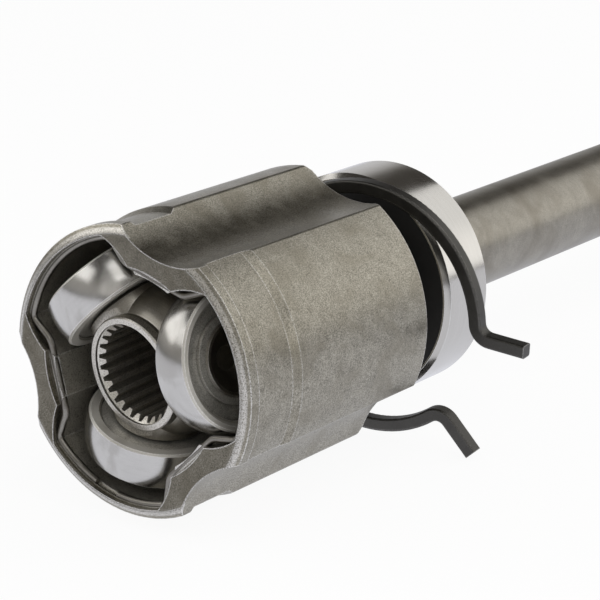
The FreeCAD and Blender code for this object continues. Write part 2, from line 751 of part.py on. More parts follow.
os.makedirs("parts", exist_ok=True)
write("tulip_housing", tulip_housing())
write("stub_shaft", stub_shaft())
write("stop_wire_ring", stop_wire_ring())
write("spider", spider())
for letter, angle in zip("abc", lobe_angles):
    write("roller_" + letter, tilted(along_trunnion(roller(), angle)))
    write("needles_" + letter, tilted(along_trunnion(needles(), angle)))
    write("needle_washers_" + letter, tilted(along_trunnion(needle_washers(), angle)))
    write("trunnion_ring_" + letter, tilted(along_trunnion(trunnion_ring(), angle)))
write("bearing_inner_race", bearing_inner_race())
write("bearing_outer_race", bearing_outer_race())
write("bearing_balls", bearing_balls())
write("bearing_cage", bearing_cage())
front_seal_x, back_seal_x = seal_starts()
write("bearing_seal_front", bearing_seal(front_seal_x))
write("bearing_seal_back", bearing_seal(back_seal_x))
write("oil_flinger", oil_flinger())
write("seat_snap_ring", seat_snap_ring())
write("bracket_clip", bracket_clip())
write("differential_clip", differential_clip())
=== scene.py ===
import bpy
import math
from mathutils import Matrix, Vector


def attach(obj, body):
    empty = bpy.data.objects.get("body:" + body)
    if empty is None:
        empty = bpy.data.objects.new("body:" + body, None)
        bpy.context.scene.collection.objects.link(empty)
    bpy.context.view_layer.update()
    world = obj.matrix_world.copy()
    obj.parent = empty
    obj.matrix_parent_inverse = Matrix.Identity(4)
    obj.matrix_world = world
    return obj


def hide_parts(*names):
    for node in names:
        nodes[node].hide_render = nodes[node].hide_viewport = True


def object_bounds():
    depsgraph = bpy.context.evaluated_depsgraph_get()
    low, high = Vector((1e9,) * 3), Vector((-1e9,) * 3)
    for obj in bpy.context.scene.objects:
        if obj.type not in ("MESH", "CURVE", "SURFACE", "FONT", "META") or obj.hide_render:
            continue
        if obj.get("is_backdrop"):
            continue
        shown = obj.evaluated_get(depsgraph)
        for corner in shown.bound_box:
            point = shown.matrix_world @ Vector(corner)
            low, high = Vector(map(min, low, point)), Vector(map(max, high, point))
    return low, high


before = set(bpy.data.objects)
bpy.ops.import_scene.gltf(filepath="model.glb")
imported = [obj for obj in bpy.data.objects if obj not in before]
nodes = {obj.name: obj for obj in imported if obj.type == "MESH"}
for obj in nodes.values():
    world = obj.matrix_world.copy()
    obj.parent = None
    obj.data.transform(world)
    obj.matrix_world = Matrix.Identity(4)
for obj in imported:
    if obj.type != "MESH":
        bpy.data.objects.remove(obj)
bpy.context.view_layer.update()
print("frame loaded:", len(nodes), "nodes")

mm = 0.001  # Blender works in metres; sizes here are in millimetres, apart from those of the studio

# The camera stands in front of the open mouth, to its left and a little above it
cameraView = {
    "place": (-433.2, -365.7, 186.5),
    "direction": (0.7655, 0.5744, -0.2900),
    "lens": 145.5,
    "sensor": 36.0,
    "nearest": 10,
}


def makeCamera(view):
    data = bpy.data.cameras.new("camera")
    data.lens = view["lens"]
    data.sensor_width = view["sensor"]
    data.clip_start = view["nearest"] * mm
    camera = bpy.data.objects.new("camera", data)
    camera.location = Vector(view["place"]) * mm
    camera.rotation_euler = Vector(view["direction"]).to_track_quat("-Z", "Y").to_euler()
    bpy.context.scene.collection.objects.link(camera)
    bpy.context.scene.camera = camera


makeCamera(cameraView)
print("camera placed")


# Colours are written as sRGB hex and turned to linear here
def linearColour(hexText):
    channels = []
    for start in (0, 2, 4):
        value = int(hexText[start:start + 2], 16) / 255
        channels.append(value / 12.92 if value <= 0.04045 else ((value + 0.055) / 1.055) ** 2.4)
    return (*channels, 1.0)


white = linearColour("ffffff")


# Adds one node; an input given as a socket is linked, any other is set
def addNode(tree, kind, settings=None, inputs=None):
    node = tree.nodes.new(kind)
    for name, value in (settings or {}).items():
        setattr(node, name, value)
    for name, value in (inputs or {}).items():
        if isinstance(value, bpy.types.NodeSocket):
            tree.links.new(value, node.inputs[name])
        else:
            node.inputs[name].default_value = value
    return node


def newMaterial(name):
    material = bpy.data.materials.new(name)
    material.use_nodes = True
    material.node_tree.nodes.clear()
    return material, material.node_tree


# Directions that the pieces of the spider lie along at rest
spiderAxes = {
    "a": Vector((0.0, 0.694658, 0.719340)),
    "b": Vector((-0.139953, -0.962107, 0.234014)),
    "c": Vector((0.139953, 0.267449, -0.953354)),
    "hub": Vector((-0.986856, 0.116248, -0.112259)),
}
shaftAxis = Vector((1, 0, 0))


# From Object coordinates: the distance along an axis, the distance from it, the angle round it, and
# how far the surface faces away from it (1) or towards it (-1)
def axisPlaces(tree, axis):
    coordinates = addNode(tree, "ShaderNodeTexCoord")
    turn = axis.rotation_difference(shaftAxis).to_euler()
    turned = addNode(tree, "ShaderNodeMapping", inputs={
        "Vector": coordinates.outputs["Object"], "Rotation": turn})
    split = addNode(tree, "ShaderNodeSeparateXYZ", inputs={0: turned.outputs[0]})
    across = addNode(tree, "ShaderNodeCombineXYZ", inputs={
        "Y": split.outputs[1], "Z": split.outputs[2]}).outputs[0]
    radius = addNode(tree, "ShaderNodeVectorMath", {"operation": "LENGTH"}, {0: across})
    angle = addNode(tree, "ShaderNodeMath", {"operation": "ARCTAN2"}, {
        0: split.outputs[2], 1: split.outputs[1]})
    outward = addNode(tree, "ShaderNodeVectorMath", {"operation": "NORMALIZE"}, {0: across})
    normal = addNode(tree, "ShaderNodeMapping", {"vector_type": "NORMAL"}, {
        "Vector": coordinates.outputs["Normal"], "Rotation": turn})
    facing = addNode(tree, "ShaderNodeVectorMath", {"operation": "DOT_PRODUCT"}, {
        0: normal.outputs[0], 1: outward.outputs[0]})
    return {
        "place": coordinates.outputs["Object"],
        "along": split.outputs[0],
        "radius": radius.outputs["Value"],
        "angle": angle.outputs[0],
        "facing": facing.outputs["Value"],
    }


# A zone is a range of along, radius or facing. Its edge is soft, and is ragged where the grain shifts it
zoneEdge = {"soft": 0.15, "softFacing": 0.08, "ragged": 0.0}


def zoneMask(tree, places, zone, grain):
    mask = None
    for what in ("along", "radius", "facing"):
        if what not in zone:
            continue
        low, high = zone[what]
        value = places[what]
        unit = mm
        soft = zone.get("soft", zoneEdge["soft"])
        if what == "facing":
            unit = 1.0
            soft = zoneEdge["softFacing"]
        if what == "along":
            value = addNode(tree, "ShaderNodeMath", {"operation": "MULTIPLY_ADD"}, {
                0: grain, 1: zone.get("ragged", zoneEdge["ragged"]) * mm, 2: value}).outputs[0]
        for edge, side in ((low, 1), (high, -1)):
            if edge is None:
                continue
            step = addNode(tree, "ShaderNodeMapRange", {"interpolation_type": "SMOOTHSTEP"}, {
                "Value": value,
                "From Min": (edge - side * soft) * unit,
                "From Max": (edge + side * soft) * unit}).outputs[0]
            if mask is None:
                mask = step
            else:
                mask = addNode(tree, "ShaderNodeMath", {"operation": "MULTIPLY"}, {
                    0: mask, 1: step}).outputs[0]
    return mask


# What all the steels share. A reach is the range of a value over which something sets in
steelPattern = {
    "grainNoise": {"Detail": 2.0, "Roughness": 0.7},
    "mottleNoise": {"Detail": 4.0, "Roughness": 0.62, "Distortion": 0.4},
    "stainNoise": {"Detail": 3.0, "Distortion": 0.8},
    "lineNoise": {"Scale": 1.0, "Detail": 2.0},
    "stainReach": {"From Min": 0.45, "From Max": 0.68},  # of the stain noise
    "mottleReach": {"From Min": 0.3, "From Max": 0.7},  # of the mottling
    "brokenReach": {"From Min": 0.3, "From Max": 0.55},  # of the grain, which breaks up films and edges
    "edgeReach": {"From Min": 0.998, "From Max": 0.965},  # of the cosine between rounded and true normal
    "clearReach": {"From Min": 0.55, "From Max": 0.9},  # of the openness of a place
    # painted shade in corners sets in over this range of the openness
    "cornerShadeReach": {"From Min": 0.85, "From Max": 0.3},  # of the openness, downwards
    "middle": 0.5,  # mean of a noise, and of the tone
    "lineSpin": 1.5,  # tool lines change slowly round the axis
    "rounding": 0.15, "grainDepth": 0.04, "lineDepth": 0.02,
}


# Bare steel in one of its finishes, with grain, tool lines, oil stains, worn edges with a painted highlight,
# and painted shade in closed corners
def steelMaterial(name, look, axis=shaftAxis):
    material, tree = newMaterial(name)
    places = axisPlaces(tree, axis)
    middle = steelPattern["middle"]
    grain = addNode(tree, "ShaderNodeTexNoise", inputs={
        "Vector": places["place"], "Scale": 1 / (look["grainSize"] * mm),
        **steelPattern["grainNoise"]}).outputs[0]
    mottle = addNode(tree, "ShaderNodeTexNoise", inputs={
        "Vector": places["place"], "Scale": 1 / (look["mottleSize"] * mm),
        **steelPattern["mottleNoise"]}).outputs[0]
    stain = addNode(tree, "ShaderNodeTexNoise", inputs={
        "Vector": places["place"], "Scale": 1 / (look["stainSize"] * mm),
        **steelPattern["stainNoise"]}).outputs[0]

    # Tool lines run round the axis, so their noise is stretched along the angle
    linePlaces = []
    perMetre = 1 / (look["lineSize"] * mm)
    for what, scale in (("along", perMetre), ("radius", perMetre), ("angle", steelPattern["lineSpin"])):
        linePlaces.append(addNode(tree, "ShaderNodeMath", {"operation": "MULTIPLY"}, {
            0: places[what], 1: scale}).outputs[0])
    linePlace = addNode(tree, "ShaderNodeCombineXYZ", inputs=dict(enumerate(linePlaces))).outputs[0]
    lines = addNode(tree, "ShaderNodeTexNoise", inputs={
        "Vector": linePlace, **steelPattern["lineNoise"]}).outputs[0]

    # Tone: grain, lines and mottling added up, from the dark steel to the light
    tone = middle
    for value, share in (
            (grain, look["grainShare"]), (lines, look["lineShare"]), (mottle, look["mottleShare"])):
        centred = addNode(tree, "ShaderNodeMath", {"operation": "SUBTRACT"}, {0: value, 1: middle}).outputs[0]
        tone = addNode(tree, "ShaderNodeMath", {"operation": "MULTIPLY_ADD"}, {
            0: centred, 1: share, 2: tone}).outputs[0]
    colour = addNode(tree, "ShaderNodeMix", {"data_type": "RGBA"}, {
        0: tone, 6: linearColour(look["dark"]), 7: linearColour(look["light"])}).outputs[2]
    stained = addNode(tree, "ShaderNodeMapRange", {"interpolation_type": "SMOOTHSTEP"}, {
        "Value": stain, "To Max": look["stainShare"], **steelPattern["stainReach"]}).outputs[0]
    colour = addNode(tree, "ShaderNodeMix", {"data_type": "RGBA"}, {
        0: stained, 6: colour, 7: linearColour(look["stain"])}).outputs[2]
    roughness = addNode(tree, "ShaderNodeMapRange", inputs={
        "Value": mottle, "To Min": look["roughness"][0], "To Max": look["roughness"][1],
        **steelPattern["mottleReach"]}).outputs[0]

    # Zones cover the steel with their own colour, broken up by the grain, or else tint it
    broken = addNode(tree, "ShaderNodeMapRange", inputs={
        "Value": grain, **steelPattern["brokenReach"]}).outputs[0]
    metallic = look.get("metallic", 1.0)  # under 1 where a film of grease or scale scatters the light
    for zone in look.get("zones", ()):
        mask = zoneMask(tree, places, zone, grain)
        if zone.get("cover"):
            mask = addNode(tree, "ShaderNodeMath", {"operation": "MULTIPLY"}, {0: mask, 1: broken}).outputs[0]
            zoneColour = linearColour(zone["colour"])
        else:
            zoneColour = addNode(tree, "ShaderNodeMix", {"data_type": "RGBA", "blend_type": "MULTIPLY"}, {
                0: 1.0, 6: colour, 7: linearColour(zone["colour"])}).outputs[2]
        mask = addNode(tree, "ShaderNodeMath", {"operation": "MULTIPLY"}, {
            0: mask, 1: zone["share"]}).outputs[0]
        colour = addNode(tree, "ShaderNodeMix", {"data_type": "RGBA"}, {
            0: mask, 6: colour, 7: zoneColour}).outputs[2]
        roughness = addNode(tree, "ShaderNodeMix", inputs={
            0: mask, 2: roughness, 3: zone["roughness"]}).outputs[0]
        if "metallic" in zone:
            metallic = addNode(tree, "ShaderNodeMix", inputs={
                0: mask, 2: metallic, 3: zone["metallic"]}).outputs[0]

    # Edges rubbed bright in handling, with a painted highlight along them, broken up by the grain and left
    # out of closed corners
    rounded = addNode(tree, "ShaderNodeBevel", {"samples": 4}, {
        "Radius": steelPattern["rounding"] * mm}).outputs[0]
    nearEdge = addNode(tree, "ShaderNodeBevel", {"samples": 6}, {"Radius": look["edgeSize"] * mm}).outputs[0]
    flat = addNode(tree, "ShaderNodeNewGeometry").outputs["Normal"]
    sameWay = addNode(tree, "ShaderNodeVectorMath", {"operation": "DOT_PRODUCT"}, {
        0: nearEdge, 1: flat}).outputs["Value"]
    edge = addNode(tree, "ShaderNodeMapRange", inputs={
        "Value": sameWay, "To Max": look["edgeShare"], **steelPattern["edgeReach"]}).outputs[0]
    openness = addNode(tree, "ShaderNodeAmbientOcclusion", {"samples": 6}, {
        "Distance": look["cornerSize"] * mm}).outputs["AO"]
    clear = addNode(tree, "ShaderNodeMapRange", inputs={
        "Value": openness, **steelPattern["clearReach"]}).outputs[0]
    for limit in (broken, clear):
        edge = addNode(tree, "ShaderNodeMath", {"operation": "MULTIPLY"}, {0: edge, 1: limit}).outputs[0]
    colour = addNode(tree, "ShaderNodeMix", {"data_type": "RGBA"}, {
        0: edge, 6: colour, 7: linearColour(look["edge"])}).outputs[2]
    # Painted shade: darker in closed corners and between parts, the more closed in the place is
    cornerShade = addNode(tree, "ShaderNodeMapRange", inputs={
        "Value": openness, "To Max": look["cornerShadeShare"], **steelPattern["cornerShadeReach"]}).outputs[0]
    colour = addNode(tree, "ShaderNodeMix", {"data_type": "RGBA"}, {
        0: cornerShade, 6: colour, 7: linearColour(look["cornerShade"])}).outputs[2]

    bumped = rounded
    for height, strength, depth in ((grain, look["grainBump"], steelPattern["grainDepth"]),
                                    (lines, look["lineBump"], steelPattern["lineDepth"])):
        bumped = addNode(tree, "ShaderNodeBump", inputs={
            "Height": height, "Strength": strength, "Distance": depth * mm, "Normal": bumped}).outputs[0]
    shader = addNode(tree, "ShaderNodeBsdfPrincipled", inputs={
        "Base Color": colour, "Metallic": metallic, "Roughness": roughness, "Normal": bumped})
    addNode(tree, "ShaderNodeOutputMaterial", inputs={"Surface": shader.outputs[0]})
    return material


# Forged medium carbon steel, shot blasted and oiled. The blasting leaves a fine pitted grain that
# breaks every reflection into speckle. Real pits are too fine to show, so the grain is drawn coarser
forgedBell = {
    "dark": "6a665b", "light": "b7b2a5", "stain": "7d7768", "edge": "f8f6f2", "cornerShade": "2b2926",
    "grainSize": 0.34, "grainShare": 2.5, "mottleSize": 3.4, "mottleShare": 0.8,
    "stainSize": 12.0, "stainShare": 0.45, "lineSize": 0.35, "lineShare": 0.25,
    "roughness": (0.29, 0.42), "edgeSize": 0.55, "edgeShare": 0.75,
    "cornerSize": 1.6, "cornerShadeShare": 0.6, "grainBump": 0.6, "lineBump": 0.05,
    "zones": [
        # face of the mouth
        {"along": (None, -14.7), "colour": "c0beba", "share": 0.9, "roughness": 0.42},
        # turned edge of the mouth
        {"along": (-14.9, -14.2), "radius": (34.0, None), "colour": "e9e6e1", "share": 0.6,
         "roughness": 0.32, "cover": True},
        # greasy inside; its colour is painted light, set lighter than the outside to brighten walls that lie
        # in shade
        {"along": (-10.5, None), "facing": (None, -0.08), "soft": 1.6, "ragged": 4.0, "colour": "b8b4a9",
         "share": 0.85, "roughness": 0.55, "metallic": 0.7, "cover": True},
    ],
}

# Medium carbon steel bar, turned and oiled: faint rings round the shaft under a patchy brownish film
turnedShaft = {
    "dark": "706c63", "light": "aca79c", "stain": "716a5d", "edge": "d6d3cd", "cornerShade": "24211d",
    "grainSize": 0.34, "grainShare": 0.9, "mottleSize": 5.0, "mottleShare": 1.0,
    "stainSize": 18.0, "stainShare": 0.5, "lineSize": 0.4, "lineShare": 0.2,
    "roughness": (0.3, 0.42), "edgeSize": 0.4, "edgeShare": 0.6,
    "cornerSize": 2.0, "cornerShadeShare": 0.6, "grainBump": 0.3, "lineBump": 0.12,
}

# Case hardened steel, machined, then dulled by the furnace: satin, beige grey, bright where it was faced
hardenedSpider = {
    "dark": "7f7b72", "light": "b8b3a9", "stain": "857d70", "edge": "e6e3dd", "cornerShade": "1d1b19",
    "grainSize": 0.3, "grainShare": 0.9, "mottleSize": 4.0, "mottleShare": 0.5,
    "stainSize": 14.0, "stainShare": 0.4, "lineSize": 0.3, "lineShare": 0.5,
    "roughness": (0.3, 0.4), "edgeSize": 0.35, "edgeShare": 0.7,
    "cornerSize": 1.6, "cornerShadeShare": 0.55, "grainBump": 0.25, "lineBump": 0.25,
    "zones": [
        # faced hub end and tooth ends
        {"along": (9.75, None), "radius": (None, 16.6), "colour": "dedad1", "share": 0.9,
         "roughness": 0.36, "cover": True},
        # splined bore; its colour is painted light, set lighter than the rest of the spider to brighten the
        # bore in its shade
        {"along": (None, 10.4), "radius": (None, 12.95), "soft": 0.6, "colour": "cbc6bb", "share": 0.9,
         "roughness": 0.5, "cover": True},
    ],
}

# Bearing steel, ground: a soft mirror on the barrel, with matt end faces that were only turned
groundRoller = {
    "dark": "b4b2ae", "light": "d2d0cc", "stain": "9f9c96", "edge": "f0eeeb", "cornerShade": "2a2826",
    "grainSize": 0.3, "grainShare": 0.25, "mottleSize": 6.0, "mottleShare": 0.5,
    "stainSize": 12.0, "stainShare": 0.5, "lineSize": 0.2, "lineShare": 0.35,
    "roughness": (0.19, 0.25), "edgeSize": 0.4, "edgeShare": 0.9,
    "cornerSize": 1.0, "cornerShadeShare": 0.3, "grainBump": 0.0, "lineBump": 0.08,
    "zones": [
        # end faces
        {"radius": (None, 17.95), "soft": 0.05, "colour": "fffdf8", "share": 1.0, "roughness": 0.5,
         "metallic": 0.55},
        # step round the bore
        {"radius": (None, 15.6), "soft": 0.3, "colour": "c8c4ba", "share": 0.7, "roughness": 0.55},
    ],
}

# Bearing steel, ground and polished: clear bands of the room with hair thin grinding rings
polishedRace = {
    "dark": "b6b4af", "light": "ccc9c4", "stain": "b8b4ac", "edge": "f0efec", "cornerShade": "2a2826",
    "grainSize": 0.3, "grainShare": 0.15, "mottleSize": 9.0, "mottleShare": 0.3,
    "stainSize": 16.0, "stainShare": 0.3, "lineSize": 0.16, "lineShare": 0.6,
    "roughness": (0.14, 0.21), "edgeSize": 0.3, "edgeShare": 0.8,
    "cornerSize": 1.5, "cornerShadeShare": 0.6, "grainBump": 0.01, "lineBump": 0.06,
}

# Chrome steel, lapped: as smooth as glass
lappedBall = dict(polishedRace, lineShare=0.1, roughness=(0.05, 0.07), lineBump=0.0)

# Bearing steel needles, ground lengthwise and oiled: a little duller than the rollers
groundNeedle = dict(groundRoller, zones=(), roughness=(0.2, 0.28))

# Spring steel strip and wire, rolled, hardened in oil: mid grey with a soft shine
oiledSpring = {
    "dark": "6b6862", "light": "a5a199", "stain": "6d6962", "edge": "c9c6c0", "cornerShade": "1e1c1a",
    "grainSize": 0.3, "grainShare": 1.2, "mottleSize": 3.0, "mottleShare": 0.5,
    "stainSize": 9.0, "stainShare": 0.4, "lineSize": 0.25, "lineShare": 0.2,
    "roughness": (0.28, 0.38), "edgeSize": 0.2, "edgeShare": 0.6,
    "cornerSize": 1.2, "cornerShadeShare": 0.7, "grainBump": 0.25, "lineBump": 0.1,
}

# Stamped steel washers and rings: light grey, speckled and matt from tumbling
tumbledRing = dict(oiledSpring, dark="8a877f", light="d6d3cb", edge="f0eeea",
                   grainShare=2.2, cornerShadeShare=0.4, metallic=0.6)

# Square spring wire with a black oxide film, rubbed through to grey at its edges
blackOxide = {
    "dark": "42413e", "light": "605e5a", "stain": "444240", "edge": "b4b2ad", "cornerShade": "161514",
    "grainSize": 0.3, "grainShare": 0.8, "mottleSize": 3.5, "mottleShare": 0.5,
    "stainSize": 12.0, "stainShare": 0.3, "lineSize": 0.3, "lineShare": 0.1,
    "roughness": (0.4, 0.5), "edgeSize": 0.45, "edgeShare": 0.7,
    "cornerSize": 1.5, "cornerShadeShare": 0.5, "grainBump": 0.35, "lineBump": 0.05,
}


# Moulded rubber and plastic: no metal, and a fine matt skin that is a little cloudy
def mouldedMaterial(name, look):
    material, tree = newMaterial(name)
    place = addNode(tree, "ShaderNodeTexCoord").outputs["Object"]
    grain = addNode(tree, "ShaderNodeTexNoise", inputs={
        "Vector": place, "Scale": 1 / (look["grainSize"] * mm), "Detail": 3.0}).outputs[0]
    cloud = addNode(tree, "ShaderNodeTexNoise", inputs={
        "Vector": place, "Scale": 1 / (look["cloudSize"] * mm), "Detail": 2.0}).outputs[0]
    colour = addNode(tree, "ShaderNodeMix", {"data_type": "RGBA"}, {
        0: cloud, 6: linearColour(look["dark"]), 7: linearColour(look["light"])}).outputs[2]
    roughness = addNode(tree, "ShaderNodeMapRange", inputs={
        "Value": grain, "To Min": look["roughness"][0], "To Max": look["roughness"][1]}).outputs[0]
    bump = addNode(tree, "ShaderNodeBump", inputs={
        "Height": grain, "Strength": look["bump"], "Distance": look["depth"] * mm}).outputs[0]
    shader = addNode(tree, "ShaderNodeBsdfPrincipled", inputs={
        "Base Color": colour, "Roughness": roughness, "IOR": look["ior"], "Normal": bump})
    addNode(tree, "ShaderNodeOutputMaterial", inputs={"Surface": shader.outputs[0]})
    return material


# Nitrile rubber, moulded: near black and matt
nitrileSeal = {
    "dark": "161616", "light": "242322", "grainSize": 0.4, "cloudSize": 6.0,
    "roughness": (0.45, 0.65), "bump": 0.3, "depth": 0.03, "ior": 1.52,
}

# Polyamide with glass fibre, moulded: dark brown, with the fibres just felt in its skin
polyamideCage = {
    "dark": "2a2722", "light": "3b3731", "grainSize": 0.5, "cloudSize": 5.0,
    "roughness": (0.4, 0.6), "bump": 0.4, "depth": 0.03, "ior": 1.53,
}

finishes = {
    "shotBlastedForgedSteel": steelMaterial("shotBlastedForgedSteel", forgedBell),
    "oiledTurnedSteel": steelMaterial("oiledTurnedSteel", turnedShaft),
    "hardenedMachinedSteel": steelMaterial("hardenedMachinedSteel", hardenedSpider, spiderAxes["hub"]),
    "polishedRaceSteel": steelMaterial("polishedRaceSteel", polishedRace),
    "lappedBallSteel": steelMaterial("lappedBallSteel", lappedBall),
    "oiledSpringSteel": steelMaterial("oiledSpringSteel", oiledSpring),
    "blackOxideSpringSteel": steelMaterial("blackOxideSpringSteel", blackOxide),
    "mouldedNitrileRubber": mouldedMaterial("mouldedNitrileRubber", nitrileSeal),
    "mouldedGlassPolyamide": mouldedMaterial("mouldedGlassPolyamide", polyamideCage),
}
for letter in "abc":
    axis = spiderAxes[letter]
    finishes["roller_" + letter] = steelMaterial("groundRollerSteel_" + letter, groundRoller, axis)
    finishes["needles_" + letter] = steelMaterial("groundNeedleSteel_" + letter, groundNeedle, axis)
    finishes["ring_" + letter] = steelMaterial("tumbledRingSteel_" + letter, tumbledRing, axis)

finishOf = {
    "tulip_housing": "shotBlastedForgedSteel",
    "stub_shaft": "oiledTurnedSteel",
    "stop_wire_ring": "oiledSpringSteel",
    "spider": "hardenedMachinedSteel",
    "bearing_inner_race": "polishedRaceSteel",
    "bearing_outer_race": "polishedRaceSteel",
    "bearing_cage": "mouldedGlassPolyamide",
    "bearing_seal_front": "mouldedNitrileRubber",
    "bearing_seal_back": "mouldedNitrileRubber",
    "oil_flinger": "blackOxideSpringSteel",
    "seat_snap_ring": "oiledSpringSteel",
    "bracket_clip": "blackOxideSpringSteel",
    "differential_clip": "oiledSpringSteel",
}
for letter in "abc":
    finishOf["roller_" + letter] = "roller_" + letter
    finishOf["needle_washers_" + letter] = "ring_" + letter
    finishOf["trunnion_ring_" + letter] = "ring_" + letter
for name, finish in finishOf.items():
    nodes[name].data.materials.clear()
    nodes[name].data.materials.append(finishes[finish])
print("finishes made:", len(finishes))


# Makes a node tree for geometry; returns the tree, its input sockets and their identifiers
def newTree(name, sizes):
    tree = bpy.data.node_groups.new(name, "GeometryNodeTree")
    identifiers = {}
    for label, value in sizes.items():
        kind = "NodeSocketInt" if isinstance(value, int) else "NodeSocketFloat"
        socket = tree.interface.new_socket(label, in_out="INPUT", socket_type=kind)
        identifiers[label] = socket.identifier
    tree.interface.new_socket("Geometry", in_out="OUTPUT", socket_type="NodeSocketGeometry")
    return tree, addNode(tree, "NodeGroupInput").outputs, identifiers


# Copies one shape round a ring, makes the copies real and gives them their material
def finishRing(tree, given, shape, material, smooth):
    ring = addNode(tree, "GeometryNodeMeshCircle", inputs={
        "Vertices": given["Count"], "Radius": given["Ring radius"]})
    copies = addNode(tree, "GeometryNodeInstanceOnPoints", inputs={
        "Points": ring.outputs[0], "Instance": shape})
    real = addNode(tree, "GeometryNodeRealizeInstances", inputs={0: copies.outputs[0]})
    shaded = addNode(tree, "GeometryNodeSetShadeSmooth", inputs={
        "Geometry": real.outputs[0], "Shade Smooth": smooth})
    last = addNode(tree, "GeometryNodeSetMaterial", inputs={
        "Geometry": shaded.outputs[0], "Material": material})
    addNode(tree, "NodeGroupOutput", inputs={"Geometry": last.outputs[0]})


# Runs a tree on an empty mesh and keeps the result as a plain mesh, placed by a matrix
def bakedPiece(name, tree, identifiers, sizes, place):
    holder = bpy.data.objects.new(name + "Holder", bpy.data.meshes.new(name + "Holder"))
    bpy.context.scene.collection.objects.link(holder)
    modifier = holder.modifiers.new("shape", "NODES")
    modifier.node_group = tree
    for label, value in sizes.items():
        modifier[identifiers[label]] = value
    ready = holder.evaluated_get(bpy.context.evaluated_depsgraph_get())
    mesh = bpy.data.meshes.new_from_object(ready)
    holder.modifiers.clear()
    bpy.data.objects.remove(holder)
    mesh.transform(place)
    piece = bpy.data.objects.new(name, mesh)
    bpy.context.scene.collection.objects.link(piece)
    return piece


# Loose needles: a full ring of them round each trunnion, each with bevelled ends
needleRing = {
    "Count": 23, "Radius": 1.5 * mm, "Length": 5.15 * mm, "Bevel": 0.3 * mm, "Ring radius": 11.3 * mm,
}
needleStart = 17.85  # from the joint centre, along the trunnion
needleSides = 20


# A needle is a round profile swept along four points: tip, body, body, tip
def needleTree(material):
    tree, given, identifiers = newTree("needleRing", needleRing)
    line = addNode(tree, "GeometryNodeMeshLine", inputs={"Count": 4})
    index = addNode(tree, "GeometryNodeInputIndex").outputs[0]
    farHalf = addNode(tree, "FunctionNodeCompare", {"data_type": "INT", "operation": "GREATER_THAN"}, {
        2: index, 3: 1}).outputs[0]
    firstBody = addNode(tree, "FunctionNodeCompare", {"data_type": "INT", "operation": "EQUAL"}, {
        2: index, 3: 1})
    lastBody = addNode(tree, "FunctionNodeCompare", {"data_type": "INT", "operation": "EQUAL"}, {
        2: index, 3: 2})
    body = addNode(tree, "FunctionNodeBooleanMath", {"operation": "OR"}, {
        0: firstBody.outputs[0], 1: lastBody.outputs[0]}).outputs[0]

    # The tips lie at both ends of the length, and the body one bevel in from each
    end = addNode(tree, "ShaderNodeMath", {"operation": "MULTIPLY"}, {0: farHalf, 1: given["Length"]})
    inset = addNode(tree, "ShaderNodeMath", {"operation": "MULTIPLY"}, {0: body, 1: given["Bevel"]})
    inward = addNode(tree, "ShaderNodeMath", {"operation": "MULTIPLY_ADD"}, {0: farHalf, 1: -2.0, 2: 1.0})
    height = addNode(tree, "ShaderNodeMath", {"operation": "MULTIPLY_ADD"}, {
        0: inset.outputs[0], 1: inward.outputs[0], 2: end.outputs[0]})
    place = addNode(tree, "ShaderNodeCombineXYZ", inputs={"Z": height.outputs[0]})
    spaced = addNode(tree, "GeometryNodeSetPosition", inputs={
        "Geometry": line.outputs[0], "Position": place.outputs[0]})
    curve = addNode(tree, "GeometryNodeMeshToCurve", inputs={"Mesh": spaced.outputs[0]})

    tip = addNode(tree, "ShaderNodeMath", {"operation": "SUBTRACT"}, {0: given["Radius"], 1: given["Bevel"]})
    width = addNode(tree, "ShaderNodeMath", {"operation": "MULTIPLY_ADD"}, {
        0: body, 1: given["Bevel"], 2: tip.outputs[0]})
    profile = addNode(tree, "GeometryNodeCurvePrimitiveCircle", inputs={
        "Resolution": needleSides, "Radius": 1.0})
    needle = addNode(tree, "GeometryNodeCurveToMesh", inputs={
        "Curve": curve.outputs[0], "Profile Curve": profile.outputs[0], "Scale": width.outputs[0],
        "Fill Caps": True})
    finishRing(tree, given, needle.outputs[0], material, False)
    return tree, identifiers


for letter in "abc":
    axis = spiderAxes[letter]
    hub = spiderAxes["hub"]
    place = Matrix((hub, axis.cross(hub).normalized(), axis)).transposed().to_4x4()
    place.translation = axis * needleStart * mm
    tree, identifiers = needleTree(finishes["needles_" + letter])
    piece = bakedPiece("needleRing_" + letter, tree, identifiers, needleRing, place)
    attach(piece, "needle_bearing_" + letter)
    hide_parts("needles_" + letter)
print("needles made")

# Balls of the support bearing
ballRing = {"Count": 11, "Radius": 4.6 * mm, "Ring radius": 24.25 * mm}
ballPlane = 87.4986  # middle of the bearing along the shaft
ballFacets = {"Segments": 32, "Rings": 16}
upToShaft = Matrix(((0, 0, 1), (1, 0, 0), (0, 1, 0)))  # lays the ring's axis along the shaft


def ballTree(material):
    tree, given, identifiers = newTree("ballRing", ballRing)
    ball = addNode(tree, "GeometryNodeMeshUVSphere", inputs=dict(ballFacets, Radius=given["Radius"]))
    finishRing(tree, given, ball.outputs[0], material, True)
    return tree, identifiers


tree, identifiers = ballTree(finishes["lappedBallSteel"])
place = Matrix.Translation((ballPlane * mm, 0, 0)) @ upToShaft.to_4x4()
piece = bakedPiece("ballRing", tree, identifiers, ballRing, place)
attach(piece, "ball_set")
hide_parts("bearing_balls")
print("balls made")

# White paper floor. In the camera and in metal nearly all of its brightness is its own, which keeps the
# object's shadow soft. Size and middle are in metres, the drop under the object in millimetres
paperFloor = {
    "colour": "f4f4f3", "roughness": 0.9, "size": 2.2, "middle": 0.1, "drop": 0.2,
    "ownLight": 0.93, "inMetal": "f3f5fe",
}


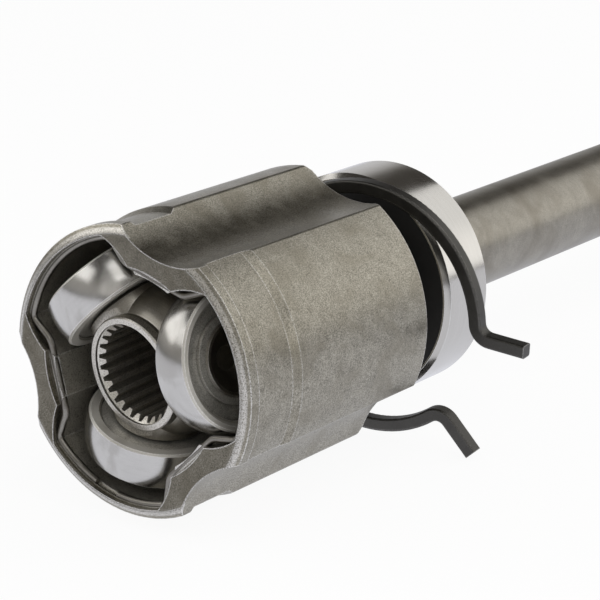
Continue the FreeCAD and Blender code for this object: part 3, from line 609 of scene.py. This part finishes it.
def makeFloor(floor):
    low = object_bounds()[0]
    bpy.ops.mesh.primitive_plane_add(
        size=floor["size"], location=(floor["middle"], 0, low[2] - floor["drop"] * mm))
    plane = bpy.context.object
    plane.name = "floor"
    material, tree = newMaterial("mattWhitePaper")
    paper = addNode(tree, "ShaderNodeBsdfPrincipled", inputs={
        "Base Color": linearColour(floor["colour"]), "Roughness": floor["roughness"]})
    rays = addNode(tree, "ShaderNodeLightPath").outputs
    seen = rays["Is Camera Ray"]
    for ray in ("Is Transmission Ray", "Is Glossy Ray"):
        seen = addNode(tree, "ShaderNodeMath", {"operation": "MAXIMUM"}, {0: seen, 1: rays[ray]}).outputs[0]
    share = addNode(tree, "ShaderNodeMath", {"operation": "MULTIPLY"}, {
        0: seen, 1: floor["ownLight"]}).outputs[0]
    tint = addNode(tree, "ShaderNodeMix", {"data_type": "RGBA"}, {
        0: rays["Is Glossy Ray"], 6: white, 7: linearColour(floor["inMetal"])}).outputs[2]
    glow = addNode(tree, "ShaderNodeEmission", inputs={"Color": tint, "Strength": 1.0}).outputs[0]
    both = addNode(tree, "ShaderNodeMixShader", inputs={0: share, 1: paper.outputs[0], 2: glow})
    addNode(tree, "ShaderNodeOutputMaterial", inputs={"Surface": both.outputs[0]})
    plane.data.materials.append(material)
    plane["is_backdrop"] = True


makeFloor(paperFloor)

# Softboxes: place, target, width and height in metres, and brightness as metal shows it
softboxes = {
    "frontStrip": {"place": (-0.22, -0.62, 0.86), "target": (-0.1, 0, 0), "size": (1.6, 0.75), "level": 1.3},
    "rightBox": {"place": (1.05, -0.42, 0.46), "target": (0.05, 0, 0), "size": (1.0, 1.0), "level": 1.1},
    "backLeft": {"place": (-0.35, 1.05, 0.60), "target": (0, 0, 0), "size": (0.8, 0.6), "level": 1.5},
    "mouthBox": {"place": (-1.05, -0.52, 0.46), "target": (-0.01, 0, 0), "size": (0.7, 0.7), "level": 0.4},
    "leftBox": {"place": (-0.98, 0.55, 0.66), "target": (-0.01, 0, 0), "size": (0.9, 0.45), "level": 1.4},
    "frontLow": {"place": (0.10, -1.00, 0.24), "target": (-0.01, 0, 0), "size": (0.6, 0.4), "level": 1.2},
}


def addSoftbox(name, box):
    data = bpy.data.lights.new(name, "AREA")
    data.shape = "RECTANGLE"
    data.size, data.size_y = box["size"]
    data.energy = box["level"] * math.pi * data.size * data.size_y  # radiance times pi times area
    light = bpy.data.objects.new(name, data)
    light.location = box["place"]
    aim = Vector(box["target"]) - Vector(box["place"])
    light.rotation_euler = aim.to_track_quat("-Z", "Y").to_euler()
    bpy.context.scene.collection.objects.link(light)


for name, box in softboxes.items():
    addSoftbox(name, box)

# The room as metal sees it: white low down and behind the object, a dark line at the horizon, dim overhead.
# Heights run from straight down (0) to straight up (1). On matt surfaces its light is even
room = {
    "evenLight": 0.5,
    "heights": [
        (0.0, "f4f4f6"), (0.44, "e6e6e8"), (0.47, "605e5b"), (0.51, "6a6865"),
        (0.535, "b0aeab"), (0.64, "9c9995"), (0.73, "4a4743"), (1.0, "3a3835"),
    ],
    "back": (0.60, 0.79, 0.1), "backColour": "dcdcde",
    "backReach": {"From Min": 0.86, "From Max": 0.985},  # of the cosine to the direction of the back
}


def makeRoom(look):
    world = bpy.data.worlds.new("studio")
    bpy.context.scene.world = world
    world.use_nodes = True
    tree = world.node_tree
    tree.nodes.clear()
    direction = addNode(tree, "ShaderNodeTexCoord").outputs["Generated"]
    split = addNode(tree, "ShaderNodeSeparateXYZ", inputs={0: direction})
    height = addNode(tree, "ShaderNodeMapRange", inputs={
        "Value": split.outputs[2], "From Min": -1.0, "From Max": 1.0})
    ramp = addNode(tree, "ShaderNodeValToRGB", inputs={0: height.outputs[0]})
    points = ramp.color_ramp.elements
    readyPoints = len(points)
    for number, (at, colour) in enumerate(look["heights"]):
        point = points[number] if number < readyPoints else points.new(at)
        point.position = at
        point.color = linearColour(colour)
    toBack = addNode(tree, "ShaderNodeVectorMath", {"operation": "DOT_PRODUCT"}, {
        0: direction, 1: Vector(look["back"]).normalized()}).outputs["Value"]
    back = addNode(tree, "ShaderNodeMapRange", {"interpolation_type": "SMOOTHSTEP"}, {
        "Value": toBack, **look["backReach"]}).outputs[0]
    inMetal = addNode(tree, "ShaderNodeMix", {"data_type": "RGBA"}, {
        0: back, 6: ramp.outputs[0], 7: linearColour(look["backColour"])}).outputs[2]
    rays = addNode(tree, "ShaderNodeLightPath").outputs
    clear = addNode(tree, "ShaderNodeMath", {"operation": "MAXIMUM"}, {
        0: rays["Is Camera Ray"], 1: rays["Is Transmission Ray"]}).outputs[0]
    colour = addNode(tree, "ShaderNodeMix", {"data_type": "RGBA"}, {
        0: clear, 6: inMetal, 7: white}).outputs[2]
    shown = addNode(tree, "ShaderNodeMath", {"operation": "MAXIMUM"}, {
        0: clear, 1: rays["Is Glossy Ray"]}).outputs[0]
    soft = addNode(tree, "ShaderNodeBackground", inputs={"Color": white, "Strength": look["evenLight"]})
    backdrop = addNode(tree, "ShaderNodeBackground", inputs={"Color": colour, "Strength": 1.0})
    both = addNode(tree, "ShaderNodeMixShader", inputs={
        0: shown, 1: soft.outputs[0], 2: backdrop.outputs[0]})
    addNode(tree, "ShaderNodeOutputWorld", inputs={"Surface": both.outputs[0]})


makeRoom(room)
bpy.context.scene.view_settings.view_transform = "Standard"
print("studio made")
